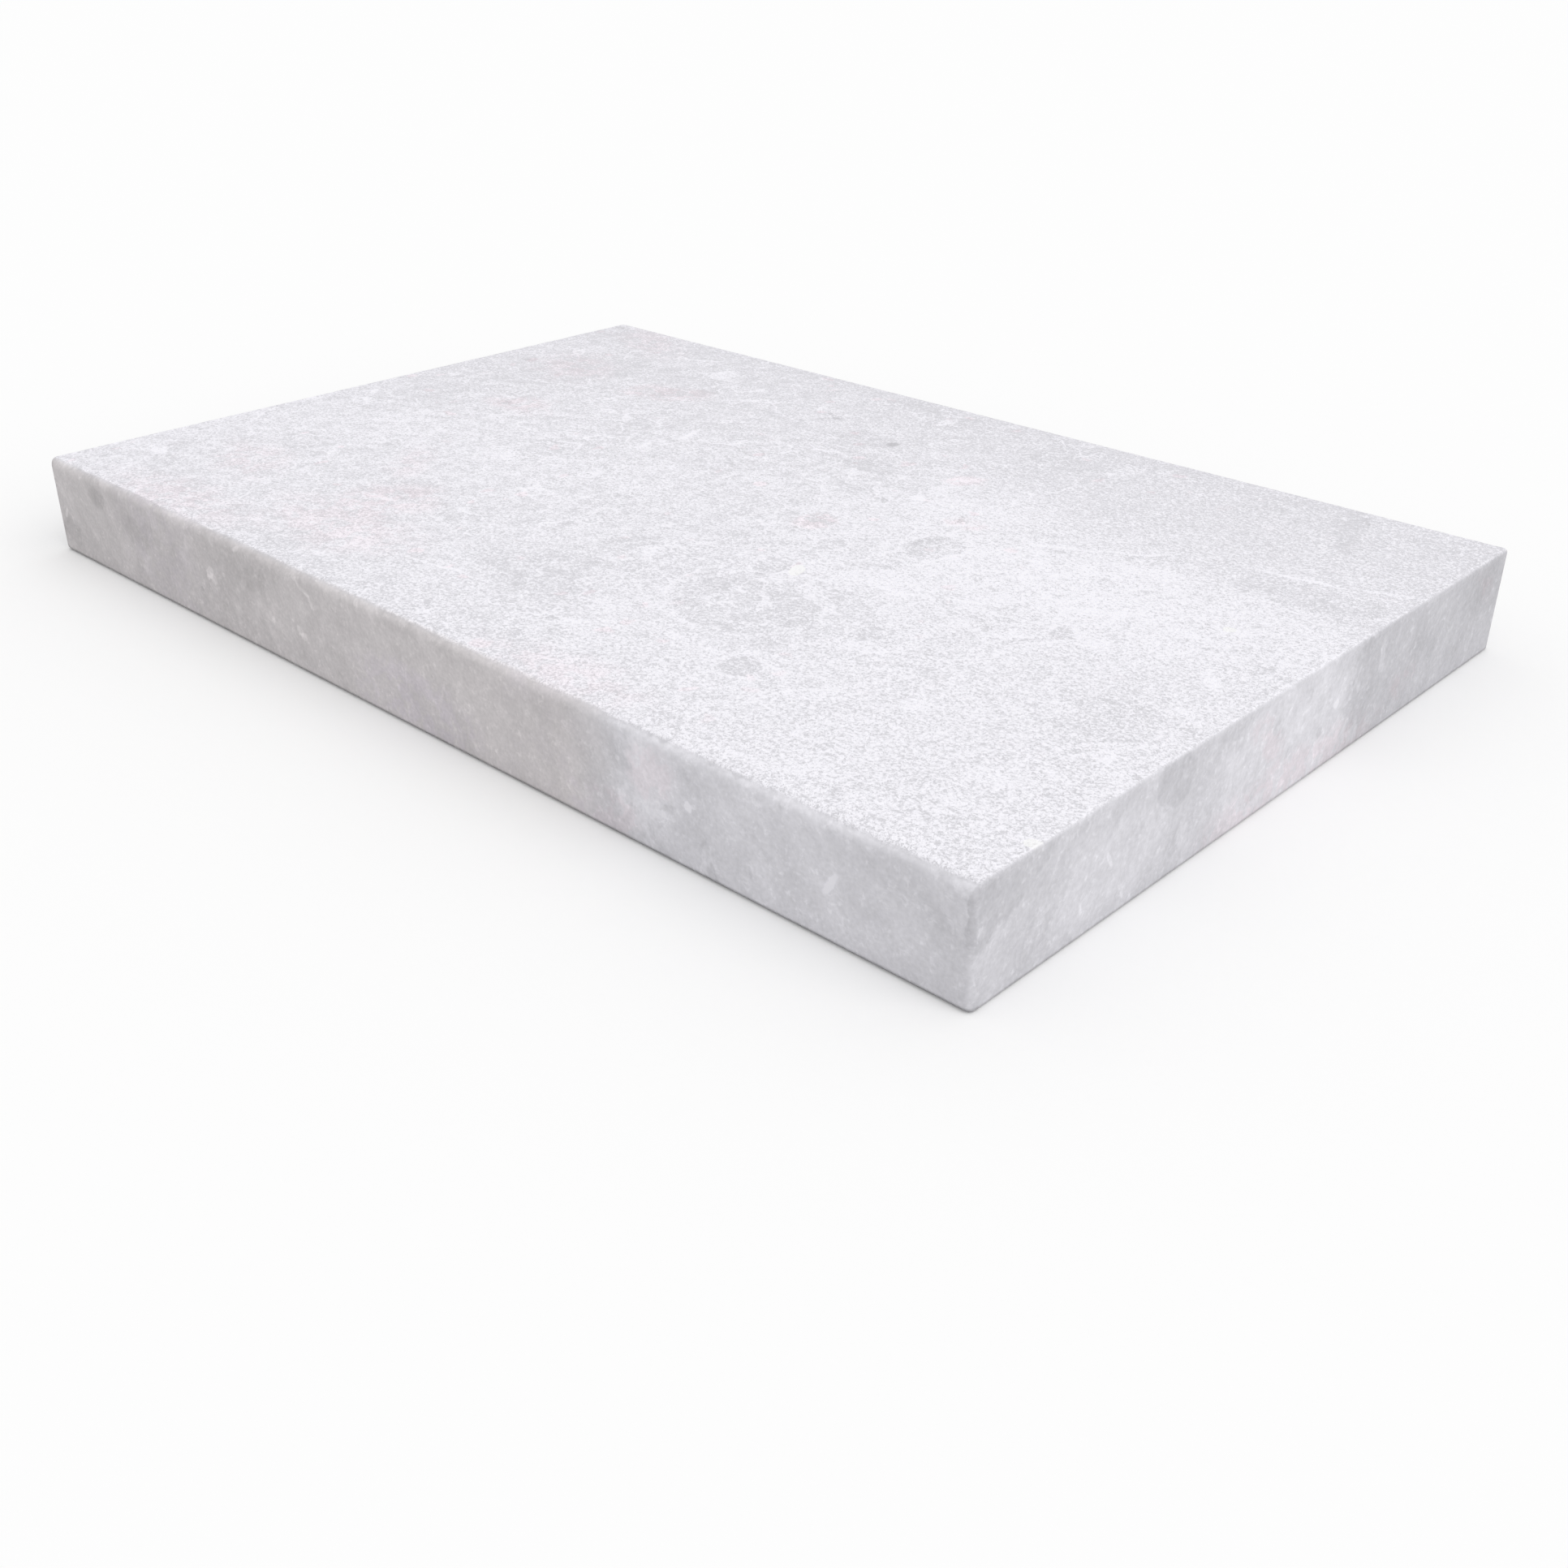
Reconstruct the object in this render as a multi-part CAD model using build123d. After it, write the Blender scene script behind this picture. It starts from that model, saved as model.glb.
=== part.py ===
from build123d import *
import os

# A rectangular coping stone, sawn from one block: X runs along its length, Y from the nose to the
# back and Z up from the bed. The origin is the middle of the bed.

LENGTH = 600.0  # along the edge of the pool, wall or step that the stone finishes
WIDTH = 400.0  # from the face of the nose to the back
THICKNESS = 50.0  # from the sawn bed to the top
NOSE_TOP_RADIUS = 5.0  # pencil round along the upper edge of the nose
NOSE_BOTTOM_RADIUS = 3.0  # easing along the lower edge of the nose
ARRIS_RADIUS = 2.0  # easing of every other edge


def nosed_section():
    """The section across the stone: a rectangle with the two edges of the nose rounded."""
    with BuildSketch(Plane.YZ) as section:
        Rectangle(WIDTH, THICKNESS, align=(Align.CENTER, Align.MIN))
        nose_bottom, nose_top = section.vertices().group_by(Axis.X)[0].sort_by(Axis.Y)
        fillet(nose_bottom, NOSE_BOTTOM_RADIUS)
        fillet(nose_top, NOSE_TOP_RADIUS)
    return section.sketch


def coping_stone():
    """The section run along the length, cut square at both ends, with its other edges eased."""
    with BuildPart() as stone:
        extrude(nosed_section(), amount=LENGTH / 2, both=True)
        nose_lines = stone.edges().filter_by(Axis.X).filter_by(lambda edge: edge.center().Y < 0)
        fillet(stone.edges() - nose_lines, ARRIS_RADIUS)
    return stone.part


os.makedirs("parts", exist_ok=True)
export_step(coping_stone(), "parts/coping_stone.step")
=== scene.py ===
import math
from collections import namedtuple
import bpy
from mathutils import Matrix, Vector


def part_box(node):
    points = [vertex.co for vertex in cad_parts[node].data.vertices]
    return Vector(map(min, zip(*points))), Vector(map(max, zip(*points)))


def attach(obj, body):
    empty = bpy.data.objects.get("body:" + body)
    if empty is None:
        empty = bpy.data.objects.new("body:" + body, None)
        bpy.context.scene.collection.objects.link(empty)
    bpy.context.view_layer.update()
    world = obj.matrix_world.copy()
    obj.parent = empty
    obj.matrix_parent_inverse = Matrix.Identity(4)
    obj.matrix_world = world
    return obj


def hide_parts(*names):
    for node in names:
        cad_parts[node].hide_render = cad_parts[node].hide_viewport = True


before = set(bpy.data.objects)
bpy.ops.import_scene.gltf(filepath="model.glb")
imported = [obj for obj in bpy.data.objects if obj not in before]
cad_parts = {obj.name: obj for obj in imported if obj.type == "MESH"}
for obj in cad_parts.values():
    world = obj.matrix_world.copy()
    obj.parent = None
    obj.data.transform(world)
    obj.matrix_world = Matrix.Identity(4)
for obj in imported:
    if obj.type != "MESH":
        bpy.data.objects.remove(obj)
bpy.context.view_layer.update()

from types import SimpleNamespace

import bpy
import numpy as np
from mathutils import Matrix, Vector, noise

# A pale stone coping slab: honed nose, back and ends, a sandblasted top and a sawn bed. Shapes and
# marks are in millimetres in the slab's own frame, and become metres when the mesh is made.

MM = 0.001
NODE = "coping_stone"
LOW, HIGH = (np.array(corner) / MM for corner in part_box(NODE))
THICKNESS = HIGH[2] - LOW[2]

# Roundings of the edges, in the order front (the nose), right end, back, left end
TOP_ROUND = np.array([5.2, 1.6, 2.0, 1.8])
BOTTOM_ROUND = np.array([2.8, 1.1, 1.4, 1.2])
CORNER_ROUND = 2.8
CORNER_LEFT_ON_TOP = 0.45  # share of the corner's radius that is left where the top begins
CORNER_LEFT_ON_BED = 0.5

# Mesh density
CELLS_X = 312
CELLS_Y = 208
BED_CELLS_X = 30
BED_CELLS_Y = 20
CORNER_STEPS = 6
BOTTOM_STEPS = 4
SIDE_STEPS = 8
TOP_STEPS = 9

# Wander of the edges, and relief of the sandblasted top
SEED = 20
NOSE_WAVE = 0.55  # how far the pencil round wanders along the nose
NOSE_WAVE_LENGTH = 24.0
NOSE_WAVE_SHIFT = 3.1  # shifts keep the noises from showing the same shapes
ARRIS_WAVE = 0.25
ARRIS_WAVE_LENGTH = 9.0
ARRIS_WAVE_SHIFT = 7.9
BLAST_INSET = np.array([2.3, 0.2, 0.4, 0.2])  # where the blasted grain begins, in from each face
BLAST_FADE = 1.2
SWELL_DEPTH, SWELL_LENGTH = 0.10, 38.0
SWELL_MIDDLE = 0.6  # mean depth of the swell, as a share of its depth
PITTED_DEPTH, PITTED_LENGTH = 0.13, 6.0
PITTED_MIDDLE = 0.7
PITTED_SHIFT = 31.7
PIT_COUNT = 320
PIT_RADIUS = (1.4, 3.2)
PIT_DEPTH = (0.08, 0.3)
PIT_FLOOR = 0.2  # share of a pit's radius that is its flat floor
DEEPEST = 0.8

# Camera, as the photograph was taken
CAMERA_PLACE = (0.55682, -0.56628, 0.32685)
CAMERA_HEADING = 42.72
CAMERA_PITCH = 28.679
CAMERA_ROLL = 0.512
CAMERA_LENS = 39.127
SENSOR = 36.0

# Light
SKY_LEVEL = 0.825  # as light; it is seen as white
KEY_LEVEL = 0.275  # light on a surface that faces the key lamp
KEY_FROM = (0.77, -0.05, 0.636)
KEY_SPREAD = 60.0
FLOOR_SEEN = 0.985  # the floor's shade where it is seen
FLOOR_BOUNCE = 0.48  # its shade as a source of light
FLOOR_REACH = 14.0
FLOOR_DROP = 0.0001

# Stone
BEDDING = Vector((0.459, -0.795, 0.397))  # the stone's beds and veins run across this direction
BEDDING_STRETCH = 2.2
BLASTED_TONE = 0.947
HONED_TONE = 0.858
WHITEST = 0.992
STONE_TINT = Vector((0.997, 0.985, 1.039))
WARM_TINT = Vector((1.027, 0.979, 0.991))  # the nose, left of the middle
PINK_TINT = Vector((1.030, 0.968, 1.026))
CALCITE_TINT = Vector((1.000, 0.996, 1.005))  # the whitest inclusions
DISPLAY_GAMMA = 2.2


def smooth(low, high, value):
    """Nought below low, one above high, with a smooth step between."""
    t = np.clip((value - low) / (high - low), 0.0, 1.0)
    return t * t * (3.0 - 2.0 * t)


def fractal(points, length, octaves, shift=0.0):
    """Smooth noise about nought, sampled at points, with bumps about as long as length."""
    scaled = points / length + shift
    return np.array([noise.fractal(Vector(p), 1.0, 2.0, octaves) for p in scaled])


# The slab as a mesh

class Outline:
    """Samples round the slab in plan, counter-clockwise from the left end of the nose."""

    def __init__(self):
        corners = np.array([(0, 0), (1, 0), (1, 1), (0, 1)], float)
        arc = np.linspace(0.0, 90.0, CORNER_STEPS + 1)[1:-1]
        shares, angles, strips = [], [], []
        for side in range(4):
            start, end = corners[side], corners[(side + 1) % 4]
            run = np.linspace(0.0, 1.0, (CELLS_X, CELLS_Y)[side % 2] + 1)[:, None]
            facing = 90.0 * side - 90.0
            shares += [start + (end - start) * run, np.tile(end, (len(arc), 1))]
            angles += [np.full(len(run), facing), facing + arc]
            strips += [side] * (len(run) + len(arc))
        angle = np.radians(np.concatenate(angles))
        self.share = np.concatenate(shares)  # place on the core rectangle
        self.facing = np.stack([np.cos(angle), np.sin(angle)], 1)
        self.strip = np.array(strips)
        x, y = self.facing.T
        turned_to = [np.minimum(y, 0), np.maximum(x, 0), np.maximum(y, 0), np.minimum(x, 0)]
        self.weight = np.stack(turned_to, 1) ** 2
        self.count = len(self.share)

    def core(self, insets, corner):
        """Corners of the rectangle that is left inside the insets and the rounded corners."""
        front, right, back, left = insets + corner
        return LOW[:2] + (left, front), HIGH[:2] - (right, back)

    def drawn(self, insets, corner):
        """The outline, drawn in from each side."""
        low, high = self.core(insets, corner)
        return low + self.share * (high - low) + corner * self.facing


def blasted(x, y):
    """One where the top is sandblasted, fading to nought before the faces."""
    from_faces = np.array([y - LOW[1], HIGH[0] - x, HIGH[1] - y, x - LOW[0]])
    return smooth(0.0, BLAST_FADE, (from_faces - BLAST_INSET[:, None]).min(axis=0))


def relief(points):
    """Depth of the sandblasted surface under the top plane."""
    level = points * (1.0, 1.0, 0.0)
    swell = SWELL_DEPTH * (SWELL_MIDDLE + fractal(level, SWELL_LENGTH, 2))
    pitted = PITTED_DEPTH * (PITTED_MIDDLE + fractal(level, PITTED_LENGTH, 3, PITTED_SHIFT))
    draw = np.random.default_rng(SEED)
    pits = np.zeros(len(points))
    for _ in range(PIT_COUNT):
        place = draw.uniform(LOW[:2], HIGH[:2])
        radius = draw.uniform(*PIT_RADIUS)
        depth = draw.uniform(*PIT_DEPTH)
        away = np.hypot(*(points[:, :2] - place).T) / radius
        pits = np.maximum(pits, depth * (1.0 - smooth(PIT_FLOOR, 1.0, away)))
    depth = np.clip(swell, 0.0, None) + np.clip(pitted, 0.0, None) + pits
    return np.clip(depth, 0.0, DEEPEST) * blasted(points[:, 0], points[:, 1])


def flat(points):
    """Depth of the sawn bed, which has no relief."""
    return np.zeros(len(points))


def edge_wave(outline):
    """How much larger the rounding of the top edge is at each sample."""
    plan = np.column_stack([outline.drawn(np.zeros(4), CORNER_ROUND), np.zeros(outline.count)])
    nose = NOSE_WAVE * fractal(plan, NOSE_WAVE_LENGTH, 2, NOSE_WAVE_SHIFT)
    arris = ARRIS_WAVE * fractal(plan, ARRIS_WAVE_LENGTH, 2, ARRIS_WAVE_SHIFT)
    on_nose = outline.weight[:, 0]
    return on_nose * nose + (1.0 - on_nose) * arris


def section_rings(outline):
    """Rings of points from the edge of the bed, up the faces, to the edge of the top."""
    foot = outline.weight @ BOTTOM_ROUND
    plain = outline.weight @ TOP_ROUND
    head = plain + edge_wave(outline)
    rings = []
    for angle in np.radians(np.linspace(-90.0, 0.0, BOTTOM_STEPS + 1)):
        inward = 1.0 - math.cos(angle)
        corner = CORNER_ROUND * (1.0 - (1.0 - CORNER_LEFT_ON_BED) * inward)
        plan = outline.drawn(BOTTOM_ROUND * inward, corner)
        rings.append(np.column_stack([plan, LOW[2] + foot * (1.0 + math.sin(angle))]))
    plan = outline.drawn(np.zeros(4), CORNER_ROUND)
    for share in np.linspace(0.0, 1.0, SIDE_STEPS + 1)[1:-1]:
        rings.append(np.column_stack([plan, LOW[2] + foot + share * (THICKNESS - foot - head)]))
    for angle in np.radians(np.linspace(0.0, 90.0, TOP_STEPS + 1)):
        inward = 1.0 - math.cos(angle)
        corner = CORNER_ROUND * (1.0 - (1.0 - CORNER_LEFT_ON_TOP) * inward)
        wave = ((head - plain) * inward)[:, None]
        plan = outline.drawn(TOP_ROUND * inward, corner) - outline.facing * wave
        ring = np.column_stack([plan, HIGH[2] - head * (1.0 - math.sin(angle))])
        ring[:, 2] -= relief(ring) * math.sin(angle) ** 2
        rings.append(ring)
    return rings


# The slab unwrapped on one square sheet, in millimetres of stone: the top, then a row for each face, and
# the bed, which is smaller there, beside the rows of the ends
SHEET = 676.0
SHEET_MARGIN = 6.0
STRIP_PITCH = 64.0
STRIP_ROW = (0, 2, 1, 3)  # front, right, back, left
STRIPS_START = HIGH[1] - LOW[1] + 2.0 * SHEET_MARGIN
BED_CORNER = np.array([HIGH[1] - LOW[1] + 4.0 * SHEET_MARGIN, STRIPS_START + 2.0 * STRIP_PITCH])
BED_SCALE = 0.32


def top_place(points):
    return points[:, :2] - LOW[:2] + SHEET_MARGIN


def bed_place(points):
    return BED_CORNER + (points[:, :2] - LOW[:2]) * BED_SCALE


def strip_place(strip, along, up):
    return np.array([SHEET_MARGIN + along, STRIPS_START + STRIP_ROW[strip] * STRIP_PITCH + up])


class Skin:
    """Collects points, faces and their places on the unwrapped sheet."""

    def __init__(self):
        self.points = []
        self.count = 0
        self.faces = []
        self.places = []

    def add(self, points):
        start = self.count
        self.points.append(points)
        self.count += len(points)
        return start

    def face(self, corners, places):
        self.faces.append(corners)
        self.places.extend(places)

    def cap(self, outline, ring_start, ring, core, cells, depth, place, upward):
        """Closes a ring with a grid, whose rim follows the ring at the cells' own spacing."""
        cells_x, cells_y = cells
        low, high = core
        columns = np.linspace(low[0], high[0], cells_x + 1)
        rows = np.linspace(low[1], high[1], cells_y + 1)
        x, y = np.meshgrid(columns, rows)
        grid = np.column_stack([x.ravel(), y.ravel(), np.full(x.size, HIGH[2] if upward else LOW[2])])
        grid[:, 2] -= depth(grid)
        start = self.add(grid)
        grid_places = place(grid)
        ring_places = place(ring)

        def put(corners):
            corners = corners if upward else corners[::-1]
            self.face(corners, [
                grid_places[c - start] if c >= start else ring_places[c - ring_start] for c in corners
            ])

        for row in range(cells_y):
            for column in range(cells_x):
                a = start + row * (cells_x + 1) + column
                put([a, a + 1, a + cells_x + 2, a + cells_x + 1])
        rim_x = np.rint(outline.share[:, 0] * cells_x).astype(int)
        rim_y = np.rint(outline.share[:, 1] * cells_y).astype(int)
        rim = (start + rim_y * (cells_x + 1) + rim_x).tolist()
        for i in range(outline.count):
            j = (i + 1) % outline.count
            corners = [ring_start + i, ring_start + j, rim[j], rim[i]]
            put(corners if rim[i] != rim[j] else corners[:3])


def clad(skin, outline, rings, starts):
    """Puts faces between the rings, each side's laid out on the sheet as a strip."""
    rim = outline.drawn(np.zeros(4), CORNER_ROUND)
    step = np.hypot(*(np.roll(rim, -1, axis=0) - rim).T)
    along = np.concatenate([[0.0], np.cumsum(step)])
    first = [int(np.argmax(outline.strip == side)) for side in range(4)]
    rise = [np.linalg.norm(b - a, axis=1) for a, b in zip(rings, rings[1:])]
    up = np.concatenate([np.zeros((1, outline.count)), np.cumsum(rise, axis=0)])
    for level in range(len(rings) - 1):
        low, high = starts[level], starts[level + 1]
        for i in range(outline.count):
            j = (i + 1) % outline.count
            strip = outline.strip[i]
            left, right = along[i] - along[first[strip]], along[i + 1] - along[first[strip]]
            heights = (up[level, i], up[level, j], up[level + 1, j], up[level + 1, i])
            places = [strip_place(strip, s, h) for s, h in zip((left, right, right, left), heights)]
            skin.face([low + i, low + j, high + j, high + i], places)


def slab_mesh():
    outline = Outline()
    rings = section_rings(outline)
    skin = Skin()
    starts = [skin.add(ring) for ring in rings]
    clad(skin, outline, rings, starts)
    top_core = outline.core(TOP_ROUND, CORNER_ROUND * CORNER_LEFT_ON_TOP)
    bed_core = outline.core(BOTTOM_ROUND, CORNER_ROUND * CORNER_LEFT_ON_BED)
    skin.cap(outline, starts[-1], rings[-1], top_core, (CELLS_X, CELLS_Y), relief, top_place, True)
    skin.cap(outline, starts[0], rings[0], bed_core, (BED_CELLS_X, BED_CELLS_Y), flat, bed_place, False)

    mesh = bpy.data.meshes.new("coping_stone_dressed")
    mesh.from_pydata(np.concatenate(skin.points) * MM, [], skin.faces)
    layer = mesh.uv_layers.new(name="OFBake")
    layer.data.foreach_set("uv", (np.array(skin.places) / SHEET).ravel())
    mesh.polygons.foreach_set("use_smooth", np.ones(len(mesh.polygons), bool))
    mesh.update()
    return mesh


# The stone's marks: lighter and darker patches, veins, inclusions and pits, placed as the photograph
# shows them, and one painted highlight on the nose. u and v are millimetres on the face: x, y on the top,
# x, z on the nose and y, z on the right end. long and wide are half sizes, turn is in degrees from u
# towards v, and tone is how much lighter the middle is, as a share of display white. edge is how far out,
# as a share, it starts to fade.
Mark = namedtuple("Mark", "u v long wide turn tone edge", defaults=[0.5])

TOP_PATCHES = [
    # Pale
    Mark(240, -110, 200, 185, 0, 0.012, 0.9), Mark(85, 40, 70, 55, 0, 0.022, 0.4),
    Mark(215, 26, 105, 48, 8, 0.020, 0.85), Mark(122, -30, 20, 12, 0, 0.026, 0.8),
    Mark(260, -138, 14, 14, 0, 0.020), Mark(160, -94, 7, 8, 0, 0.040),
    Mark(-142, -33, 11, 14, 0, 0.034, 0.7), Mark(-230, -37, 14, 11, 0, 0.022),
    Mark(28, 125, 13, 10, 0, 0.030), Mark(113, 175, 13, 13, 0, 0.020),
    Mark(62, 86, 6, 14, 0, 0.038), Mark(60, 102, 13, 4, 45, 0.050),
    Mark(18, 48, 7, 9, 0, 0.038), Mark(-205, -90, 13, 5, -45, 0.050),
    Mark(-250, -85, 7, 9, 0, 0.050), Mark(-55, 5, 20, 14, 0, 0.014),
    Mark(200, 62, 26, 14, 25, 0.030, 0.3), Mark(90, 86, 70, 42, 0, 0.024, 0.2),
    Mark(170, 30, 170, 110, 0, 0.014, 0.2), Mark(160, 62, 22, 14, 25, 0.012, 0.2),
    Mark(240, 104, 20, 12, 0, 0.014, 0.3), Mark(-15, -10, 120, 90, 0, 0.005, 0.3),
    Mark(120, -58, 60, 20, 0, 0.010, 0.3), Mark(-178, -60, 36, 18, 0, 0.010, 0.3),
    Mark(-85, -180, 26, 12, 0, 0.010, 0.3), Mark(42, 100, 18, 16, 0, 0.012, 0.3),
    Mark(42, 24, 16, 14, 0, 0.012, 0.3), Mark(220, -105, 24, 16, 0, 0.009, 0.3),
    Mark(-240, -140, 14, 12, 0, 0.012, 0.3), Mark(220, -180, 24, 14, 0, 0.010, 0.3),
    Mark(120, 178, 16, 14, 0, 0.010, 0.3),
    # Dark
    Mark(5, -130, 42, 18, 0, -0.026, 0.8),
    Mark(8, -78, 13, 14, 0, -0.036, 0.7), Mark(-232, 118, 36, 26, 0, -0.028, 0.7),
    Mark(-157, 110, 30, 12, 40, -0.036, 0.7), Mark(-285, 175, 34, 34, 0, -0.014, 0.3),
    Mark(-35, 193, 40, 14, 0, -0.012, 0.4), Mark(82, 160, 30, 16, 10, -0.018),
    Mark(238, 168, 52, 9, -70, -0.038, 0.4), Mark(-18, 118, 26, 14, 0, -0.030, 0.7),
    Mark(15, 85, 16, 18, 30, -0.036, 0.7), Mark(-125, -100, 20, 12, -45, -0.024, 0.7),
    Mark(-250, -165, 13, 12, 0, -0.020), Mark(-272, -140, 12, 8, -45, -0.040, 0.7),
    Mark(-110, -190, 240, 34, 0, -0.014, 0.3), Mark(0, 214, 420, 50, 0, -0.016, 0.2),
    Mark(-265, 60, 80, 90, 0, -0.022, 0.2), Mark(-200, -120, 150, 110, 0, -0.008, 0.2),
    Mark(-120, 0, 26, 40, 0, -0.014, 0.2), Mark(-245, 20, 60, 34, 0, -0.008, 0.2),
    Mark(-288, -20, 16, 30, 0, -0.020, 0.2), Mark(-240, 168, 26, 34, 0, -0.014, 0.2),
    Mark(0, 102, 22, 12, 0, -0.022, 0.3), Mark(0, 182, 22, 14, 0, -0.012, 0.3),
    Mark(-80, -102, 20, 18, 0, -0.014, 0.3), Mark(0, -102, 24, 14, 0, -0.022, 0.3),
    Mark(-200, -142, 20, 14, 0, -0.020, 0.3), Mark(90, -185, 110, 26, 0, -0.008, 0.3),
    Mark(-122, 60, 20, 16, 0, -0.012, 0.3), Mark(162, 182, 22, 14, 0, -0.008, 0.3),
    Mark(-25, 182, 40, 14, 0, -0.008, 0.3), Mark(-180, 138, 70, 16, 0, -0.009, 0.3),
    Mark(-120, -20, 20, 16, 0, -0.009, 0.3), Mark(40, -142, 18, 12, 0, -0.009, 0.3),
    Mark(269, -78, 19, 22, 0, -0.024, 0.6), Mark(250, -72, 18, 13, 30, -0.014, 0.4),
    Mark(100, -92, 52, 32, -15, -0.010, 0.6),
]
# Dark fragments of older stone, with crisp edges
TOP_FRAGMENTS = [
    Mark(262, 80, 34, 17, 6, -0.024, 0.92), Mark(111, 18, 15, 16, 0, -0.052, 0.9),
    Mark(47, 8, 9, 12, 25, -0.042, 0.85), Mark(136, -136, 9, 9, 0, -0.042, 0.85),
    Mark(72, -10, 8, 9, 0, -0.046, 0.85), Mark(92, -88, 36, 32, 0, -0.032, 0.92),
    Mark(130, -62, 24, 9, -20, -0.034, 0.85), Mark(72, -50, 9, 9, 0, -0.054, 0.85),
    Mark(152, -78, 8, 13, 0, -0.040, 0.85), Mark(208, -20, 7, 8, 0, -0.062, 0.8),
]
FRAGMENT_RIM = 0.032  # how much lighter the line round each fragment is
RIM_WIDTH = 1.4  # about half the width of that line
RIM_OUT = 0.7  # how far outside the fragment its middle runs, as a share of RIM_WIDTH
TOP_VEINS = [
    # Pale
    Mark(148, 56, 20, 2.6, 25, 0.120, 0.0), Mark(173, 69, 23, 2.2, 30, 0.080, 0.0),
    Mark(252, 99, 34, 1.9, 8, 0.110, 0.0), Mark(287, 110, 26, 1.9, 20, 0.080, 0.0),
    Mark(-91, 58, 17, 3.1, -75, 0.140, 0.0), Mark(-88, 40, 14, 2.2, 75, 0.100, 0.0),
    Mark(131, -125, 14, 2.1, 45, 0.080, 0.0), Mark(187, 79, 16, 2.1, 45, 0.080, 0.0),
    Mark(125, -138, 13, 2.0, 75, 0.080, 0.0), Mark(144, -128, 12, 2.1, -10, 0.080, 0.0),
    Mark(-28, -152, 23, 2.3, 10, 0.100, 0.0), Mark(40, -154, 18, 2.2, 10, 0.080, 0.0),
    Mark(57, -151, 13, 2.1, 25, 0.080, 0.0), Mark(-86, -180, 16, 2.2, 10, 0.090, 0.0),
    Mark(-138, -174, 21, 3.4, 30, 0.080, 0.0), Mark(277, -103, 16, 2.1, 60, 0.090, 0.0),
    Mark(-127, 18, 14, 2.2, 75, 0.100, 0.0), Mark(-28, 24, 14, 2.2, -75, 0.080, 0.0),
    Mark(162, -22, 17, 2.2, 30, 0.120, 0.0), Mark(208, -36, 14, 2.1, 60, 0.080, 0.0),
    Mark(-121, -116, 14, 2.2, 0, 0.080, 0.0), Mark(-74, 146, 13, 2.1, -60, 0.080, 0.0),
    Mark(4, 111, 14, 2.1, -10, 0.080, 0.0), Mark(168, -90, 16, 2.1, 25, 0.100, 0.0),
    Mark(170, -134, 14, 2.1, 45, 0.070, 0.0), Mark(90, -174, 14, 2.1, 30, 0.070, 0.0),
    Mark(100, 48, 14, 2.1, 45, 0.070, 0.0), Mark(108, -64, 14, 2.1, -30, 0.080, 0.0),
    Mark(-84, -163, 13, 2.2, -75, 0.070, 0.0), Mark(-258, -177, 14, 2.3, -60, 0.080, 0.0),
    Mark(193, -41, 14, 2.1, 45, 0.080, 0.0), Mark(113, -102, 18, 2.1, 25, 0.080, 0.0),
    # Dark
    Mark(151, 51, 18, 2.9, 25, -0.060, 0.0), Mark(200, -40, 14, 2.1, 60, -0.080, 0.0),
    Mark(84, -171, 13, 2.1, 45, -0.070, 0.0), Mark(173, -97, 14, 2.1, 45, -0.070, 0.0),
    Mark(102, -171, 13, 2.1, 45, -0.060, 0.0), Mark(273, -93, 13, 2.1, 45, -0.070, 0.0),
    Mark(260, 5, 14, 2.1, 30, -0.060, 0.0), Mark(58, -76, 13, 2.1, 75, -0.080, 0.0),
    Mark(-172, 154, 12, 2.1, -75, -0.070, 0.0), Mark(106, -18, 14, 2.2, 10, -0.070, 0.0),
    Mark(-51, 58, 14, 2.2, -10, -0.090, 0.0), Mark(-42, 40, 14, 2.2, -30, -0.110, 0.0),
    Mark(24, 56, 14, 2.2, -10, -0.060, 0.0), Mark(46, -64, 13, 2.1, 30, -0.090, 0.0),
]
TOP_CALCITE = [
    Mark(84, -47, 7.5, 3.6, -60, 0.130, 0.7), Mark(255, 27, 3.6, 3.0, 0, 0.060, 0.7),
    Mark(298, -168, 4.0, 3.5, 0, 0.110, 0.7),
]
TOP_SPOTS = [
    # Pale inclusions
    Mark(-163, 157, 8.5, 13, 0, 0.056, 0.8), Mark(276, -22, 15, 4.2, -45, 0.085, 0.2),
    Mark(223, -23, 10, 7, 0, 0.046, 0.7), Mark(281, -51, 5, 3.6, 0, 0.065),
    Mark(-157, 58, 7, 5, 0, 0.095),
    Mark(150, -130, 6, 3.6, 0, 0.044), Mark(165, -140, 3.0, 3.4, 0, 0.050),
    Mark(62, 64, 5, 6, 0, 0.090), Mark(-268, -155, 6, 5, 0, 0.085),
    Mark(-284, -10, 9, 2.4, -45, 0.050), Mark(-140, 56, 9, 2.4, -45, 0.060),
    Mark(175, -128, 2.2, 4.5, 0, 0.050), Mark(185, -123, 2.8, 2.6, 0, 0.060),
    Mark(208, -116, 8, 9, 0, 0.026), Mark(264, -172, 7, 1.7, 20, 0.075),
    Mark(262, -165, 6, 5, 0, 0.035), Mark(201, -163, 2.5, 3.4, 0, 0.060),
    Mark(225, -160, 6, 2.0, -10, 0.045), Mark(225, -189, 9, 1.9, 15, 0.050),
    Mark(177, -190, 4, 1.9, -50, 0.055), Mark(145, -42, 2.5, 3.4, 0, 0.060),
    Mark(201, -35, 5, 1.8, 45, 0.060), Mark(66, -69, 5, 4, 0, 0.035),
    # Dark
    Mark(38, -67, 3.2, 2.6, 0, -0.070), Mark(51, 51, 5, 3.4, -30, -0.075),
    Mark(-278, 98, 7, 3.4, -45, -0.024), Mark(232, -22, 8, 1.6, -45, -0.040),
]
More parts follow.
